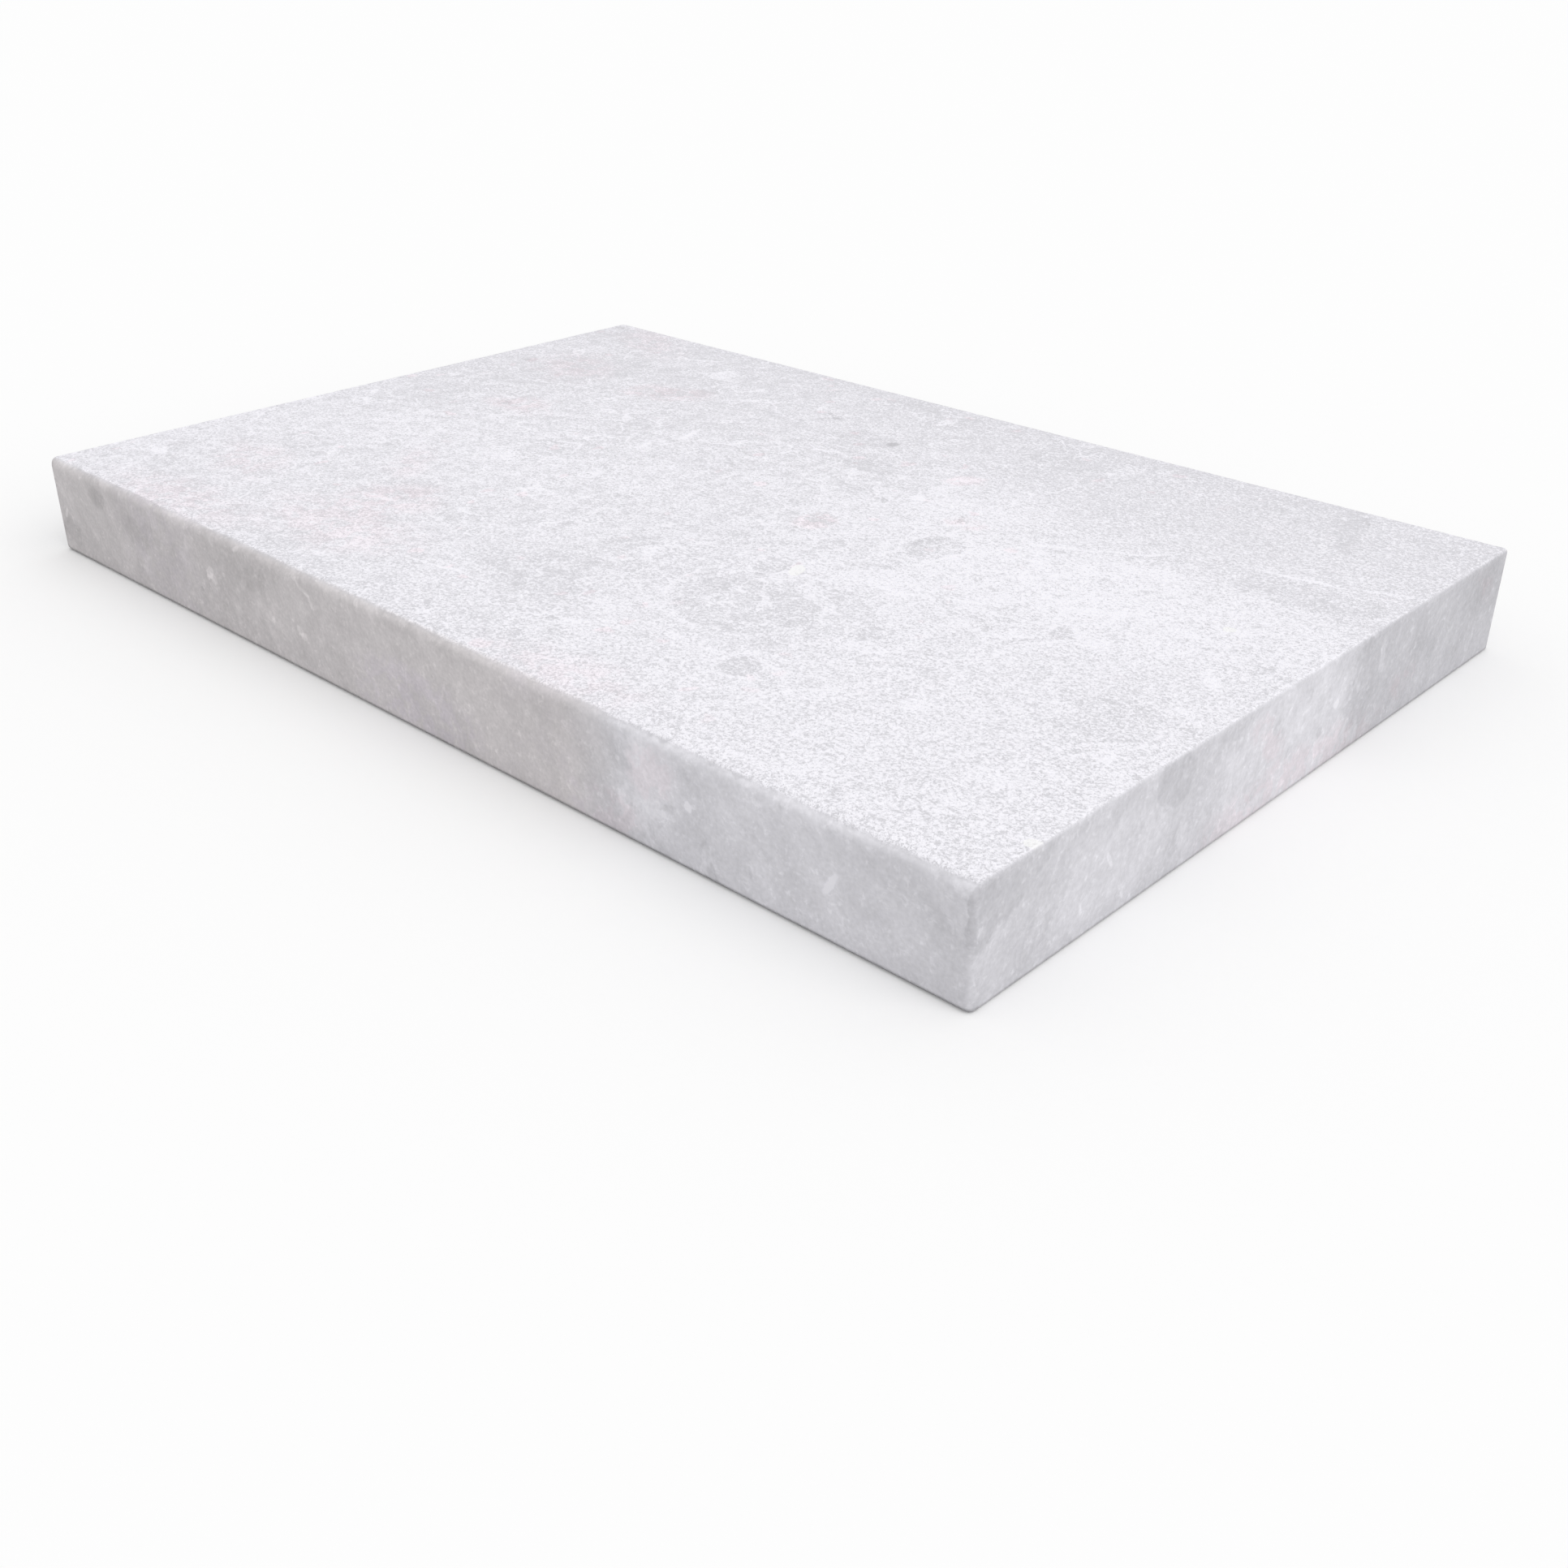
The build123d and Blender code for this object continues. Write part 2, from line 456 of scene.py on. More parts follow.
TOP_PITS = [
    Mark(-2, 122, 3.8, 4.8, 0, -0.066, 0.6), Mark(-63, 141, 6.5, 2.0, -30, -0.038),
    Mark(-55, 137, 3.4, 2.4, 0, -0.052), Mark(-210, 28, 6, 3.4, 0, -0.028),
    Mark(-293, 191, 5, 4, 0, -0.028), Mark(96, 55, 6, 2.0, -60, -0.042),
    Mark(237, 187, 8, 1.4, -60, -0.032), Mark(200, 172, 7, 1.2, -60, -0.026),
    Mark(13, -103, 3.6, 3.2, 0, -0.016), Mark(-137, 0, 9, 2.0, -10, -0.026),
    Mark(100, 20, 1.4, 11, 0, -0.024), Mark(-274, 97, 7, 2.0, 25, -0.030),
]
NOSE_PATCHES = [
    # The pale right end
    Mark(245, 25, 130, 80, 0, 0.046, 0.75), Mark(150, 29, 25, 27, 0, 0.050, 0.4),
    Mark(205, 12, 22, 9, 45, 0.006), Mark(300, 25, 50, 60, 0, -0.022, 0.2),
    Mark(303, 25, 10, 60, 0, -0.034, 0.2), Mark(262, 38, 20, 8, -45, -0.022),
    Mark(138, 15.5, 4.0, 12, 0, 0.040), Mark(181, 6.5, 3.0, 7, 0, 0.040),
    # Painted highlight: a pale band along the top rounding of the nose
    Mark(205, 48, 75, 9, 0, 0.024, 0.4),
    # The rest
    Mark(-20, 25, 190, 90, 0, -0.018, 0.3), Mark(-240, 25, 260, 90, 0, -0.050, 0.4),
    Mark(-90, 27, 34, 18, 0, 0.020), Mark(-109, 35.5, 12, 8, 0, -0.036),
    Mark(-212, 32, 26, 10, 0, -0.034), Mark(-253, 40, 12, 7, 0, -0.066),
    Mark(-288, 12, 17, 9, 0, -0.072), Mark(-230, 15, 22, 9, 45, 0.024),
    Mark(81, 33, 22, 13, 0, -0.016), Mark(20, 10, 46, 12, 0, -0.012),
    Mark(0, 47, 18, 6, 0, -0.026), Mark(98, 41, 14, 9, 0, -0.010),
    Mark(-69, 41, 15, 1.8, -45, 0.050),
]
NOSE_SPOTS = [
    Mark(-149, 28, 4.4, 3.0, 45, 0.072, 0.7), Mark(-146.5, 25.5, 3.6, 3.0, -45, 0.060, 0.7),
    Mark(-151, 25.5, 2.4, 1.8, 0, 0.070), Mark(-75.5, 20.5, 3.6, 2.6, -45, 0.060, 0.7),
    Mark(-73, 18.5, 3.2, 2.6, 25, 0.060, 0.7), Mark(172, 26.9, 2.4, 2.8, 0, 0.110),
    Mark(135, 33.5, 1.8, 1.6, 0, 0.050), Mark(240, 24, 7.5, 2.2, 60, 0.075),
    Mark(-123, 46.5, 3.8, 1.6, 25, 0.060), Mark(-291, 22.5, 5.0, 1.4, 60, 0.070),
    Mark(295, 46, 6, 4, 0, 0.060), Mark(-159, 17, 1.8, 1.8, 0, -0.050),
]
END_PATCHES = [
    Mark(146, 25, 103, 70, 0, -0.050, 0.93), Mark(61, 28, 15, 34, 0, -0.012),
    Mark(97, 37, 15, 10, 0, 0.010), Mark(186, 37, 36, 20, -15, -0.036),
    Mark(120, 28, 24, 12, -10, -0.018), Mark(-84, 42, 14, 13, 0, -0.046, 0.85),
    Mark(-190, 46, 62, 20, 31, -0.044, 0.8), Mark(-45, 44, 12, 6, 0, -0.026, 0.7),
    Mark(0, 22, 70, 44, 0, 0.060), Mark(-120, 25, 48, 24, 0, 0.034),
    Mark(78, 36, 12, 2.4, -80, 0.050), Mark(-76, 17, 4.0, 9, 0, 0.046),
]
END_SPOTS = [
    Mark(-7, 30, 4.5, 4.0, 0, -0.030), Mark(25, 33, 5.5, 5.0, 0, -0.030),
    Mark(28, 18.5, 3.4, 3.4, 0, -0.060), Mark(40, 27, 2.8, 2.6, 0, 0.084),
    Mark(-123.5, 25, 6.0, 1.3, -60, 0.060), Mark(-196, 30, 3.0, 3.0, 0, 0.050),
]

# Where the top is speckled, with the tone as the share of the specks' strength
TOP_SPECKLED = [Mark(215, 26, 110, 50, 8, 1.0, 0.8), Mark(-15, -10, 105, 80, 0, 0.7, 0.4)]

# Where the top is more mottled, or less, as a share
TOP_MOTTLED = [Mark(-5, 5, 150, 110, 0, 0.12, 0.4), Mark(200, 130, 130, 85, 0, -0.28, 0.4)]

# Where the stone is pinker, with the tone as the share of the pink tint
TOP_PINKS = [
    Mark(-120, -115, 34, 30, 0, 1.0, 0.3), Mark(-110, -152, 70, 36, 0, 0.9, 0.2),
    Mark(-160, 105, 34, 20, 30, 1.0, 0.4), Mark(-240, 106, 46, 34, -30, 0.8, 0.2),
    Mark(-203, 30, 30, 18, 0, 1.0, 0.4), Mark(-225, -128, 50, 26, -30, 0.8, 0.2),
    Mark(-195, -185, 80, 26, 0, 0.9, 0.2), Mark(92, -186, 60, 20, 0, 0.8, 0.2),
    Mark(47, 4, 13, 16, 0, 1.0), Mark(62, 102, 14, 9, 45, 0.9), Mark(100, 52, 10, 10, 0, 0.9),
    Mark(-160, -75, 34, 16, -45, 0.7, 0.2), Mark(-250, 180, 60, 24, -30, 0.7, 0.2),
]
NOSE_PINKS = [
    Mark(8, 12, 55, 22, 0, 1.0), Mark(128, 8, 26, 14, 0, 0.9), Mark(152, 33, 18, 14, 0, 0.8),
]
END_PINKS = [
    Mark(10, 4, 92, 18, 0, 1.0), Mark(-16, 32, 22, 9, -40, 0.9),
    Mark(180, 38, 18, 8, -40, 0.8), Mark(105, 17, 16, 9, 0, 0.8),
]

TOP_DEPTH, FACE_DEPTH = 200.0, 3.5  # how far marks reach into the stone

# Noise between and inside the marks. Lengths are millimetres of stone, a height is how far a swing goes
# either way from nought, and the rest is what the noise node takes. A ramp maps one range to another.
NOISE_MIDDLE = 0.5
WARP_DETAIL = 2.0
Noise = namedtuple("Noise", "length detail roughness distortion", defaults=[0.0, 0.5, 0.0])
Swing = namedtuple("Swing", "length height detail roughness distortion", defaults=[0.0, 0.5, 0.0])
Ramp = namedtuple("Ramp", "from_low from_high to_low to_high kind", defaults=["SMOOTHSTEP"])

# What makes outlines wander: the length of the bends and how far they reach
JAGGED = (3.0, 0.9)
RAGGED = (5.0, 1.6)
BENT = (26.0, 10.0)
RAMBLING = (6.0, 3.0)  # on top of BENT
BROKEN_OFF = (5.0, 1.2)  # on top of BENT
STRAYING = ((18.0, 5.0), (5.0, 3.0))  # one on top of the other
WINDING = ((14.0, 2.6), (4.0, 1.2))

# Where the top is sandblasted
BLAST_WANDER = Swing(16.0, 1.3, 2.0)
BLAST_NEARER = Ramp(-200.0, 200.0, -0.4, 1.0, "LINEAR")  # nearer the nose to the right
BLAST_EDGE = Ramp(-0.5, 0.9, 0.0, 1.0)
BLAST_DOWN = 3.0  # how far under the top plane it can reach

# Clouds, and stone that was broken and healed
CLOUDS = Swing(85.0, 0.036, 3.0, 0.6)
CLOUDS_ON_TOP = 0.55
BROKEN = Noise(60.0, 1.0)
BROKEN_SHARE = Ramp(0.42, 0.56, 0.0, 1.0)
BROKEN_ALONG = Ramp(-150.0, 20.0, 0.4, 1.0)  # less to the left
BROKEN_BACK = Ramp(40.0, 90.0, 1.0, 0.2)  # less behind the long vein
CLAST_SIZE = 24.0
WEB_LINE = Ramp(0.0, 0.06, 0.045, 0.0)
WEB_ON_FACES = 0.4

# Specks
SPECK_SPACING = 8.0
SPECK_SIZE = Ramp(0.25, 0.5, 1.0, 0.0)
SPECK_DARK = Ramp(0.55, 0.80, 0.0, -0.055)  # which of them are dark
SPECK_PINK = Ramp(0.035, 0.055, 1.0, 0.0)  # which of them are pink
SPECK_PINK_ALONG = Ramp(120.0, 200.0, 1.0, 0.1)

# Hairlines
HAIRLINE = Swing(40.0, 1.0, 2.0, 0.6)
HAIRLINE_PALE = Ramp(0.0, 0.028, 0.085, 0.0)
HAIRLINE_DARK = Ramp(0.0, 0.03, -0.03, 0.0)
HAIRLINE_BESIDE = 0.06  # where the dark line is
LINED = Noise(48.0, 1.0)
LINED_SHARE = Ramp(0.44, 0.56, 0.0, 1.0)
LINED_ALONG = Ramp(80.0, 180.0, 1.0, 0.4)

# The sandblasted top: its grain is dark strokes where the noise is low
PATCH_STRENGTH = 1.15
SMEARS = Swing(13.0, 0.056, 2.0, 0.6)
MOTTLE = Swing(7.0, 0.045, 3.0, 0.85)
MOTTLE_ALONG = Ramp(-150.0, 200.0, 1.65, 0.75, "LINEAR")
GRAIN = Noise(1.5, 2.0, 0.9, 0.5)
GRAIN_STRENGTH = Ramp(60.0, 420.0, 1.0, 1.18, "LINEAR")  # more towards the front right corner
PORE_SPACING = 7.5
PORES = Ramp(0.10, 0.22, -0.06, 0.0)
TOP_PAINTED_FALLOFF = Ramp(-40.0, HIGH[1], 0.0, -0.034, "LINEAR")  # painted shade: darker towards the back, standing for light that falls off
STROKE_SPAN = 0.185
STROKE_DARK, STROKE_PALE = 0.101, 0.077
STROKE_SLOPE = 1.5 * (STROKE_DARK + STROKE_PALE) / (2.0 * STROKE_SPAN)  # in the middle of the ramp

# The honed faces
STREAKS = Swing(20.0, 0.085, 4.0, 0.68, 0.3)
FLECKS = Noise(3.2, 2.0, 0.7)
FLECK_TONE = Ramp(0.52, 0.8, 0.0, 0.07)
FINE = Swing(1.8, 0.05, 1.0)
FOOT_PAINTED_SHADE = Ramp(1.0, 2.6, -0.165, 0.0)  # painted shade: the lower arris darkened as a contact shadow
FOOT_SHADE_DROP = Ramp(LOW[1] + 3.0, LOW[1] + 6.0, 0.0, 0.6)  # the painted shade sits lower on the ends than on the nose

# Colour
BLOTCHES = Noise(9.0, 2.0, 0.6)
BLOTCH_SHARE = Ramp(0.42, 0.52, 0.25, 1.0)
CALCITE_SHARE = Ramp(0.02, 0.05, 0.0, 1.0)
WARM_IN = Ramp(LOW[1] + 0.5, LOW[1] + 4.0, 1.0, 0.0)
WARM_ALONG = Ramp(100.0, 140.0, 1.0, 0.0)

# Finish
SPECULAR = 0.35
ROUGHNESS = Ramp(0.0, 1.0, 0.52, 0.92, "LINEAR")  # from honed to blasted
UNEVEN_POLISH = Swing(12.0, 0.12, 2.0)
BED_UP = 0.4  # how far above the bed's plane its finish reaches
BED_ROUGHER = 0.3
SAW_MARKS = {"Scale": 0.05, "Distortion": 2.0, "Detail": 2.0}
SAW_HEIGHT = 0.4
BUMP = {"Strength": 0.7, "Distance": 0.001}


class Graph:
    """Adds nodes to a tree, so that a formula reads as one line."""

    def __init__(self, tree):
        self.tree = tree

    def node(self, kind, inputs=(), **settings):
        made = self.tree.nodes.new(kind)
        for name, value in settings.items():
            setattr(made, name, value)
        for key, value in dict(inputs).items():
            if isinstance(value, bpy.types.NodeSocket):
                self.tree.links.new(value, made.inputs[key])
            else:
                made.inputs[key].default_value = value
        return made

    def math(self, operation, *values):
        return self.node("ShaderNodeMath", enumerate(values), operation=operation).outputs[0]

    def total(self, values):
        whole = values[0]
        for value in values[1:]:
            whole = self.math("ADD", whole, value)
        return whole

    def vector(self, operation, *values):
        return self.node("ShaderNodeVectorMath", enumerate(values), operation=operation).outputs["Vector"]

    def ramp(self, value, from_low, from_high, to_low, to_high, kind="SMOOTHSTEP"):
        inputs = {"Value": value, "From Min": from_low, "From Max": from_high}
        inputs.update({"To Min": to_low, "To Max": to_high})
        return self.node("ShaderNodeMapRange", inputs, interpolation_type=kind).outputs["Result"]

    def noise(self, place, length, detail=0.0, roughness=0.5, distortion=0.0, output="Fac"):
        inputs = {"Vector": place, "Scale": 1.0 / length, "Detail": detail}
        inputs.update({"Roughness": roughness, "Distortion": distortion})
        return self.node("ShaderNodeTexNoise", inputs).outputs[output]

    def swing(self, place, length, height, detail=0.0, roughness=0.5, distortion=0.0):
        """Noise about nought, height tall either way."""
        value = self.noise(place, length, detail, roughness, distortion)
        return self.ramp(value, 0.0, 1.0, -height, height, "LINEAR")

    def voronoi(self, place, length, feature="F1"):
        inputs = {"Vector": place, "Scale": 1.0 / length}
        return self.node("ShaderNodeTexVoronoi", inputs, feature=feature).outputs

    def ball(self, place, middle, turn, size):
        """One in the middle of an ellipsoid, falling to nought at its skin."""
        made = self.node("ShaderNodeTexGradient", {"Vector": place}, gradient_type="SPHERICAL")
        made.texture_mapping.vector_type = "TEXTURE"
        made.texture_mapping.translation = middle
        made.texture_mapping.rotation = turn
        made.texture_mapping.scale = size
        return made.outputs["Fac"]

    def warped(self, place, length, reach):
        """The place, moved about by up to reach."""
        colour = self.noise(place, length, WARP_DETAIL, output="Color")
        centred = self.vector("SUBTRACT", colour, (NOISE_MIDDLE,) * 3)
        return self.vector("MULTIPLY_ADD", centred, (2.0 * reach,) * 3, place)


# The axes of u, v and the normal of each face, and where the face is. The back and the left end have the
# marks of the nose and the right end, mirrored.
FACE_AXES = {"top": "XYZ", "nose": "XZY", "end": "YZX"}
FACE_PLANE = {"top": HIGH[2], "nose": HIGH[1], "end": HIGH[0]}


def mirrored(graph, place, face):
    """The place with the far one of two opposite faces folded onto the other."""
    if face == "top":
        return place
    out_axis = FACE_AXES[face][2]
    axes = graph.node("ShaderNodeSeparateXYZ", {"Vector": place}).outputs
    inputs = {axis: axes[axis] for axis in "XYZ"}
    inputs[out_axis] = graph.math("ABSOLUTE", axes[out_axis])
    return graph.node("ShaderNodeCombineXYZ", inputs).outputs["Vector"]


def marks_tone(graph, place, face, marks, depth, rim=0.0):
    """The sum of a face's marks at a place in the stone, each with a line round it if rim is given."""
    u_axis, v_axis, out_axis = ("XYZ".index(axis) for axis in FACE_AXES[face])
    # A turn from u towards v is a turn about the normal, or the other way where the axes are left-handed
    hand = -1.0 if face == "nose" else 1.0
    folded = mirrored(graph, place, face)
    tones = []
    for mark in marks:
        line = RIM_WIDTH / math.sqrt(mark.long * mark.wide) if rim else 0.0
        on_line = 1.0 + RIM_OUT * line
        reach = on_line + line
        middle, turn, size = Vector((0, 0, 0)), Vector((0, 0, 0)), Vector((0, 0, 0))
        middle[u_axis], middle[v_axis], middle[out_axis] = mark.u, mark.v, FACE_PLANE[face]
        turn[out_axis] = hand * math.radians(mark.turn)
        size[u_axis], size[v_axis], size[out_axis] = mark.long * reach, mark.wide * reach, depth * reach
        near = graph.ball(folded, middle, turn, size)
        tones.append(graph.ramp(near, 1.0 - 1.0 / reach, 1.0 - mark.edge / reach, 0.0, mark.tone))
        if rim:
            off_line = graph.math("ABSOLUTE", graph.math("SUBTRACT", near, 1.0 - on_line / reach))
            tones.append(graph.ramp(off_line, 0.0, line / reach, rim, 0.0))
    return graph.total(tones)


def stone_places(graph):
    """The place in the stone in millimetres, and copies that follow the beds or wander."""
    plain = graph.vector("SCALE", graph.node("ShaderNodeTexCoord").outputs["Object"])
    plain.node.inputs["Scale"].default_value = 1.0 / MM
    axes = graph.node("ShaderNodeSeparateXYZ", {"Vector": plain}).outputs
    inputs = {"Vector": plain, "Rotation": BEDDING.to_track_quat("Z", "Y").to_euler()}
    inputs["Scale"] = (1.0, 1.0, 1.0 / BEDDING_STRETCH)
    beds = graph.node("ShaderNodeMapping", inputs, vector_type="TEXTURE").outputs["Vector"]
    bent = graph.warped(plain, *BENT)
    return SimpleNamespace(
        plain=plain, x=axes["X"], y=axes["Y"], z=axes["Z"], beds=beds, bent=bent,
        jagged=graph.warped(plain, *JAGGED),
        ragged=graph.warped(plain, *RAGGED),
        rambling=graph.warped(bent, *RAMBLING),
        broken_off=graph.warped(bent, *BROKEN_OFF),
        straying=graph.warped(graph.warped(plain, *STRAYING[0]), *STRAYING[1]),
        winding=graph.warped(graph.warped(plain, *WINDING[0]), *WINDING[1]),
    )


def blast_share(graph, at):
    """One where the top is sandblasted, in from each face by a line that wanders along the nose."""
    front, end, back, _ = BLAST_INSET
    wander = graph.swing(at.plain, *BLAST_WANDER)
    nearer = graph.ramp(at.x, *BLAST_NEARER)
    in_front = graph.total([graph.math("SUBTRACT", at.y, LOW[1] + front), wander, nearer])
    in_ends = graph.math("SUBTRACT", HIGH[0] - end, graph.math("ABSOLUTE", at.x))
    in_back = graph.math("SUBTRACT", HIGH[1] - back, at.y)
    inside = graph.math("MINIMUM", in_front, graph.math("MINIMUM", in_ends, in_back))
    above = graph.math("GREATER_THAN", at.z, HIGH[2] - BLAST_DOWN)
    return graph.math("MULTIPLY", graph.ramp(inside, *BLAST_EDGE), above)


def broken_share(graph, at):
    """One where the stone was broken and healed."""
    broken = graph.ramp(graph.noise(at.plain, *BROKEN), *BROKEN_SHARE)
    broken = graph.math("MULTIPLY", broken, graph.ramp(at.x, *BROKEN_ALONG))
    return graph.math("MULTIPLY", broken, graph.ramp(at.y, *BROKEN_BACK))


def web_tone(graph, at, broken):
    """Pale lines between the pieces of the broken stone."""
    rim = graph.voronoi(at.rambling, CLAST_SIZE, "DISTANCE_TO_EDGE")["Distance"]
    return graph.math("MULTIPLY", graph.ramp(rim, *WEB_LINE), broken)


def specks(graph, at, broken):
    """The tone of small dark specks in the broken stone, and the share of pink ones here and there."""
    cells = graph.voronoi(at.rambling, SPECK_SPACING)
    kind = graph.node("ShaderNodeSeparateColor", {0: cells["Color"]}).outputs[0]
    speck = graph.ramp(cells["Distance"], *SPECK_SIZE)
    speckled = graph.math("MAXIMUM", broken, marks_tone(graph, at.bent, "top", TOP_SPECKLED, TOP_DEPTH))
    dark = graph.math("MULTIPLY", speck, graph.ramp(kind, *SPECK_DARK))
    pink = graph.math("MULTIPLY", speck, graph.ramp(kind, *SPECK_PINK))
    pink = graph.math("MULTIPLY", pink, graph.ramp(at.x, *SPECK_PINK_ALONG))
    return graph.math("MULTIPLY", dark, speckled), pink


def hairline_tone(graph, at):
    """Pale lines where a slow noise crosses nought, with a dark line along one side."""
    slow = graph.swing(at.bent, *HAIRLINE)
    beside = graph.math("SUBTRACT", slow, HAIRLINE_BESIDE)
    pale_line = graph.ramp(graph.math("ABSOLUTE", slow), *HAIRLINE_PALE)
    dark_line = graph.ramp(graph.math("ABSOLUTE", beside), *HAIRLINE_DARK)
    lined = graph.ramp(graph.noise(at.plain, *LINED), *LINED_SHARE)
    lined = graph.math("MULTIPLY", lined, graph.ramp(at.x, *LINED_ALONG))
    return graph.math("MULTIPLY", graph.math("ADD", pale_line, dark_line), lined)


def mottle_tone(graph, at):
    """Smears along the beds and smaller blots, stronger to the left."""
    both = graph.math("ADD", graph.swing(at.beds, *SMEARS), graph.swing(at.ragged, *MOTTLE))
    more = marks_tone(graph, at.plain, "top", TOP_MOTTLED, TOP_DEPTH)
    return graph.math("MULTIPLY", both, graph.math("ADD", graph.ramp(at.x, *MOTTLE_ALONG), more))


def top_tone(graph, at, clouds, web, dark_specks, calcite, grain):
    """The tone of the sandblasted top. The paler the stone is, the less of the grain's strokes is dark."""
    patches = marks_tone(graph, at.rambling, "top", TOP_PATCHES, TOP_DEPTH)
    pits = marks_tone(graph, at.ragged, "top", TOP_PITS, TOP_DEPTH)
    marks = graph.total([
        graph.math("MULTIPLY", patches, PATCH_STRENGTH),
        marks_tone(graph, at.broken_off, "top", TOP_FRAGMENTS, TOP_DEPTH, FRAGMENT_RIM),
        marks_tone(graph, at.winding, "top", TOP_VEINS, TOP_DEPTH),
        marks_tone(graph, at.ragged, "top", TOP_SPOTS, TOP_DEPTH),
        pits,
        calcite,
    ])
    paleness = graph.total([
        marks,
        web,
        dark_specks,
        hairline_tone(graph, at),
        graph.math("MULTIPLY", clouds, CLOUDS_ON_TOP),
        mottle_tone(graph, at),
        graph.ramp(graph.voronoi(at.ragged, PORE_SPACING)["Distance"], *PORES),
        # Painted shade: the top darkens towards the back
        graph.ramp(at.y, *TOP_PAINTED_FALLOFF),
    ])
    strength = graph.ramp(graph.math("SUBTRACT", at.x, at.y), *GRAIN_STRENGTH)
    stroke = graph.math("MULTIPLY", graph.math("SUBTRACT", grain, NOISE_MIDDLE), strength)
    stroke = graph.math("MULTIPLY_ADD", paleness, 1.0 / STROKE_SLOPE, stroke)
    tone = graph.ramp(stroke, -STROKE_SPAN, STROKE_SPAN, -STROKE_DARK, STROKE_PALE)
    return graph.total([tone, BLASTED_TONE, pits])


def face_tone(graph, at, clouds, web):
    """The tone of the honed faces: clouded along the beds, with fine pale flecks and painted shade at the
    foot.
    """
    marks = graph.total([
        marks_tone(graph, at.straying, "nose", NOSE_PATCHES, FACE_DEPTH),
        marks_tone(graph, at.jagged, "nose", NOSE_SPOTS, FACE_DEPTH),
        marks_tone(graph, at.straying, "end", END_PATCHES, FACE_DEPTH),
        marks_tone(graph, at.jagged, "end", END_SPOTS, FACE_DEPTH),
    ])
    return graph.total([
        marks,
        graph.math("MULTIPLY", web, WEB_ON_FACES),
        clouds,
        graph.swing(at.beds, *STREAKS),
        graph.ramp(graph.noise(at.ragged, *FLECKS), *FLECK_TONE),
        graph.swing(at.plain, *FINE),
        # Painted shade: the foot of each face and the bed are darker, standing for the contact shadow
        graph.ramp(graph.math("ADD", at.z, graph.ramp(at.y, *FOOT_SHADE_DROP)), *FOOT_PAINTED_SHADE),
        HONED_TONE,
    ])


def stone_tint(graph, at, blast, pink_specks, calcite):
    """Faintly lavender, pinker in patches, warmer along the nose, and neutral where it is whitest."""
    pinks = [
        marks_tone(graph, at.rambling, "top", TOP_PINKS, TOP_DEPTH),
        marks_tone(graph, at.straying, "nose", NOSE_PINKS, FACE_DEPTH),
        marks_tone(graph, at.straying, "end", END_PINKS, FACE_DEPTH),
    ]
    blotched = graph.ramp(graph.noise(at.ragged, *BLOTCHES), *BLOTCH_SHARE)
    pink = graph.math("MULTIPLY", graph.math("MINIMUM", graph.total(pinks), 1.0), blotched)
    pink = graph.math("MAXIMUM", pink, graph.math("MULTIPLY", pink_specks, blast))
    white = graph.math("MULTIPLY", graph.ramp(calcite, *CALCITE_SHARE), blast)
    pink = graph.math("MULTIPLY", pink, graph.math("SUBTRACT", 1.0, white))
    along = graph.node("ShaderNodeSeparateXYZ", {"Vector": at.rambling}).outputs["X"]
    warm = graph.math("MULTIPLY", graph.ramp(at.y, *WARM_IN), graph.ramp(along, *WARM_ALONG))
    warm = graph.math("MULTIPLY", warm, graph.math("SUBTRACT", 1.0, pink))
    tint = graph.vector("MULTIPLY_ADD", pink, PINK_TINT - STONE_TINT, STONE_TINT)
    tint = graph.vector("MULTIPLY_ADD", warm, WARM_TINT - STONE_TINT, tint)
    return graph.vector("MULTIPLY_ADD", white, CALCITE_TINT - STONE_TINT, tint)


def add_finish(graph, at, shader, blast, grain):
    """Roughness and fine relief: honed faces, the grain of the blasted top and the marks of the saw."""
    bed = graph.math("LESS_THAN", at.z, LOW[2] + BED_UP)
    rough = graph.math("ADD", graph.ramp(blast, *ROUGHNESS), graph.swing(at.beds, *UNEVEN_POLISH))
    rough = graph.math("MULTIPLY_ADD", bed, BED_ROUGHER, rough)
    saw = graph.node("ShaderNodeTexWave", {"Vector": at.plain, **SAW_MARKS}, bands_direction="X")
    saw = graph.math("MULTIPLY", graph.math("MULTIPLY", saw.outputs["Fac"], bed), SAW_HEIGHT)
    height = graph.math("ADD", graph.math("MULTIPLY", grain, blast), saw)
    bump = graph.node("ShaderNodeBump", {"Height": height, **BUMP}).outputs["Normal"]
    graph.tree.links.new(rough, shader.inputs["Roughness"])
    graph.tree.links.new(bump, shader.inputs["Normal"])
    shader.inputs["Specular IOR Level"].default_value = SPECULAR


def stone_material():
    material = bpy.data.materials.new("blasted_and_honed_stone")
    material.use_nodes = True
    graph = Graph(material.node_tree)
    shader = material.node_tree.nodes["Principled BSDF"]
    at = stone_places(graph)
    blast = blast_share(graph, at)
    broken = broken_share(graph, at)
    clouds = graph.swing(at.beds, *CLOUDS)
    grain = graph.noise(at.plain, *GRAIN)
    web = web_tone(graph, at, broken)
    dark_specks, pink_specks = specks(graph, at, broken)
    calcite = marks_tone(graph, at.ragged, "top", TOP_CALCITE, TOP_DEPTH)
    on_top = top_tone(graph, at, clouds, web, dark_specks, calcite, grain)
    on_faces = face_tone(graph, at, clouds, web)
    gap = graph.math("SUBTRACT", on_top, on_faces)
    tone = graph.math("MINIMUM", graph.math("MULTIPLY_ADD", gap, blast, on_faces), WHITEST)
    level = graph.math("POWER", tone, DISPLAY_GAMMA)
    tint = stone_tint(graph, at, blast, pink_specks, calcite)
    graph.tree.links.new(graph.vector("MULTIPLY", level, tint), shader.inputs["Base Color"])
    add_finish(graph, at, shader, blast, grain)
    return material


# The studio

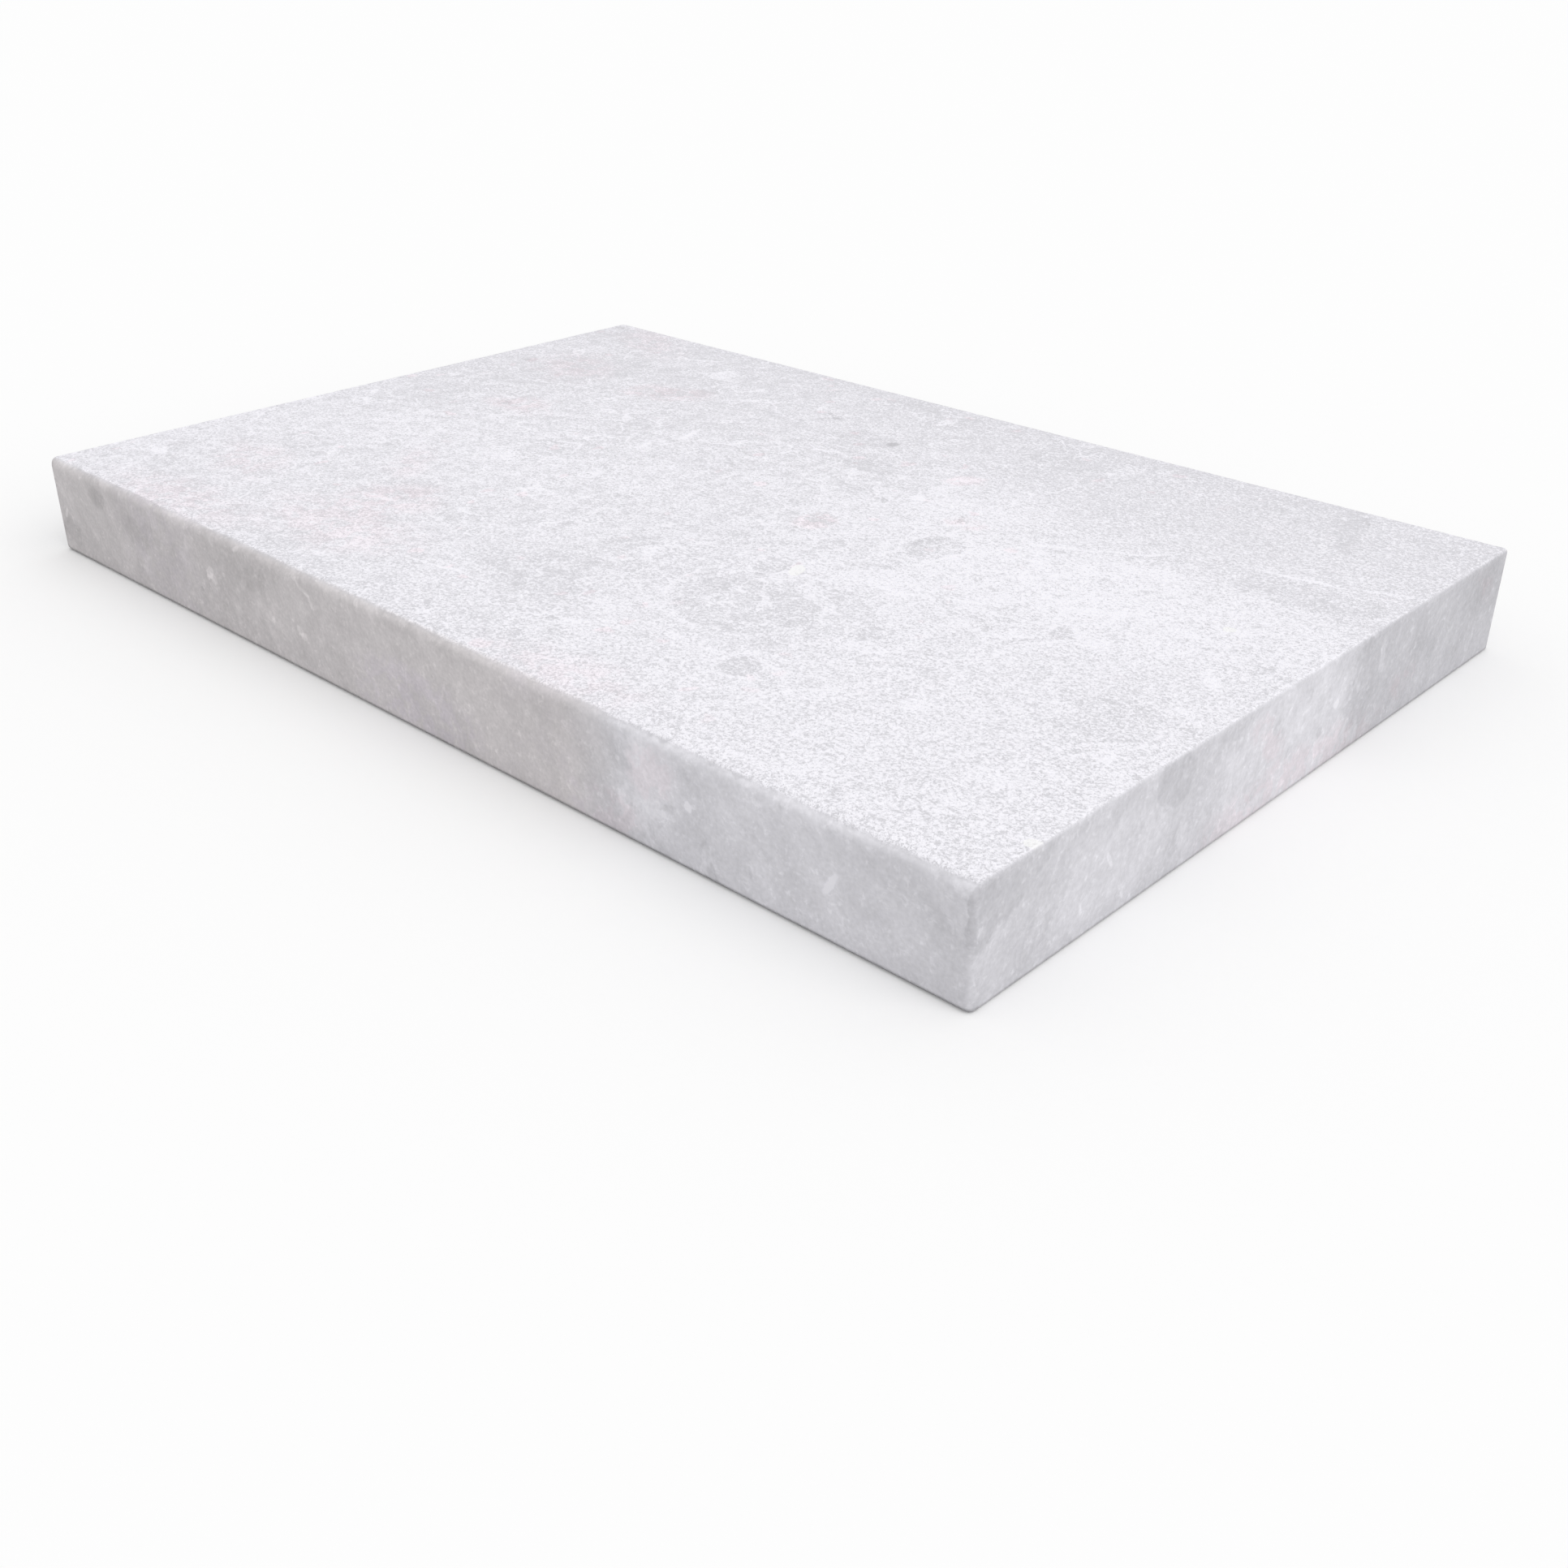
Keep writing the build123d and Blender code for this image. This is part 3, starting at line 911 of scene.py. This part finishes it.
def seen(graph):
    """One for a ray that is seen, straight or in a reflection, and nought for one that only lights."""
    path = graph.node("ShaderNodeLightPath").outputs
    direct = graph.math("MAXIMUM", path["Is Camera Ray"], path["Is Glossy Ray"])
    return graph.math("MAXIMUM", direct, path["Is Transmission Ray"])


def add_floor():
    reach = FLOOR_REACH
    mesh = bpy.data.meshes.new("floor")
    corners = [(-reach, -reach), (reach, -reach), (reach, reach), (-reach, reach)]
    mesh.from_pydata([(x, y, -FLOOR_DROP) for x, y in corners], [], [(0, 1, 2, 3)])
    floor = bpy.data.objects.new("floor", mesh)
    bpy.context.scene.collection.objects.link(floor)
    material = bpy.data.materials.new("pale_floor")
    material.use_nodes = True
    graph = Graph(material.node_tree)
    shader = material.node_tree.nodes["Principled BSDF"]
    shade = graph.ramp(seen(graph), 0.0, 1.0, FLOOR_BOUNCE, FLOOR_SEEN, "LINEAR")
    graph.tree.links.new(shade, shader.inputs["Base Color"])
    shader.inputs["Roughness"].default_value = 1.0
    shader.inputs["Specular IOR Level"].default_value = 0.0
    mesh.materials.append(material)


def add_light():
    scene = bpy.context.scene
    world = bpy.data.worlds.new("studio")
    world.use_nodes = True
    graph = Graph(world.node_tree)
    background = world.node_tree.nodes["Background"]
    level = graph.ramp(seen(graph), 0.0, 1.0, SKY_LEVEL, 1.0, "LINEAR")
    graph.tree.links.new(level, background.inputs["Strength"])
    background.inputs["Color"].default_value = (1.0, 1.0, 1.0, 1.0)
    scene.world = world
    lamp = bpy.data.lights.new("key", "SUN")
    lamp.energy = KEY_LEVEL * math.pi
    lamp.angle = math.radians(KEY_SPREAD)
    key = bpy.data.objects.new("key", lamp)
    key.rotation_euler = Vector(KEY_FROM).to_track_quat("Z", "Y").to_euler()
    scene.collection.objects.link(key)


def add_camera():
    data = bpy.data.cameras.new("camera")
    data.lens = CAMERA_LENS
    data.sensor_width = SENSOR
    camera = bpy.data.objects.new("camera", data)
    turn = Matrix.Rotation(math.radians(CAMERA_HEADING), 4, "Z")
    tilt = Matrix.Rotation(math.radians(90.0 - CAMERA_PITCH), 4, "X")
    roll = Matrix.Rotation(math.radians(CAMERA_ROLL), 4, "Z")
    camera.matrix_world = Matrix.Translation(CAMERA_PLACE) @ turn @ tilt @ roll
    bpy.context.scene.collection.objects.link(camera)
    bpy.context.scene.camera = camera


def add_slab():
    slab = bpy.data.objects.new("coping_stone_slab", slab_mesh())
    slab.data.materials.append(stone_material())
    bpy.context.scene.collection.objects.link(slab)
    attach(slab, "root")
    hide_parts(NODE)


bpy.context.scene.view_settings.view_transform = "Standard"
add_slab()
add_floor()
add_light()
add_camera()
